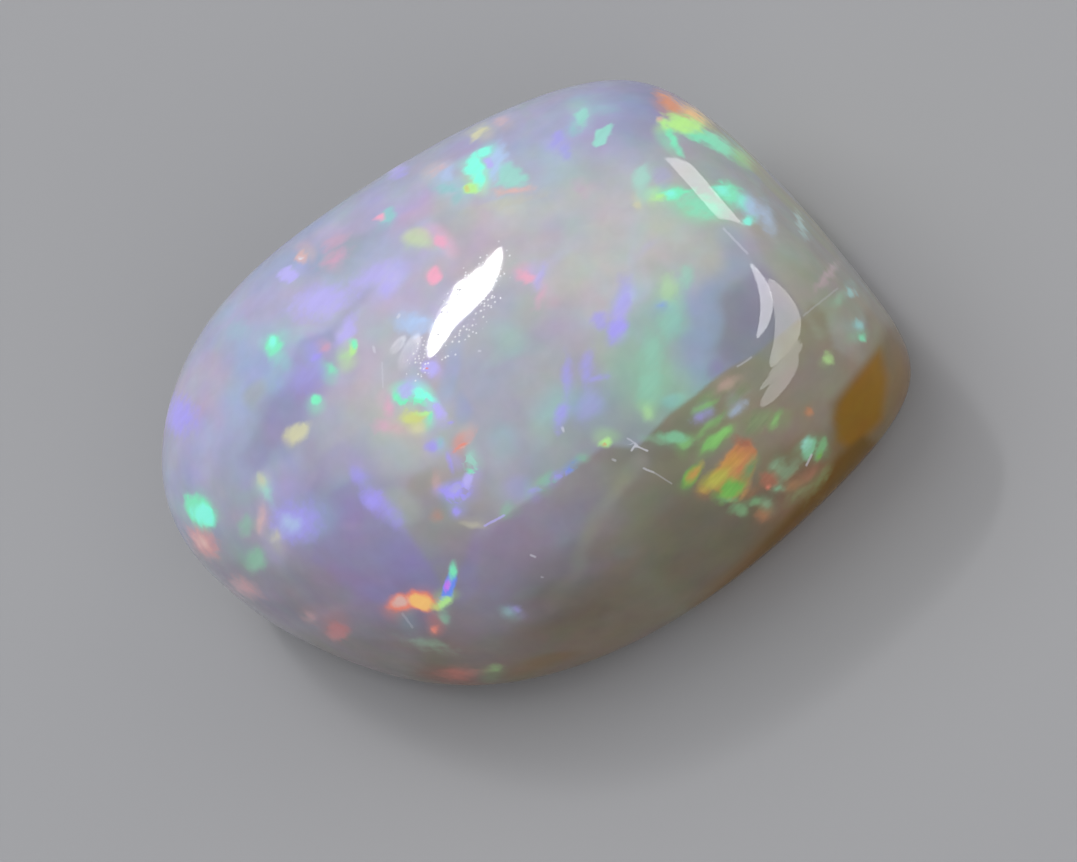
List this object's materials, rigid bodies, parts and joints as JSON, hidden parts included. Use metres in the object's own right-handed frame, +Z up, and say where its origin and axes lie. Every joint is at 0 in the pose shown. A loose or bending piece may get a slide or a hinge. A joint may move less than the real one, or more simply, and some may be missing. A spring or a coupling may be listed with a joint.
{
  "type": "light opal",
  "caption": "Polished light opal, a smooth domed stone of uneven rounded plan with one wall ground flat, lying on its flat back.",
  "frame": {"origin": "on the flat back, under the middle of the stone's plan", "axes": "+X along the stone's length, towards the narrow tip; +Z up through the dome, out of the flat back"},
  "size_m": [0.0186, 0.0144, 0.0084],
  "materials": {
    "opal": "polished, pale and milky, with a play of colour"
  },
  "bodies": {
    "root": {"light_opal": "opal"}
  },
  "joints": []
}
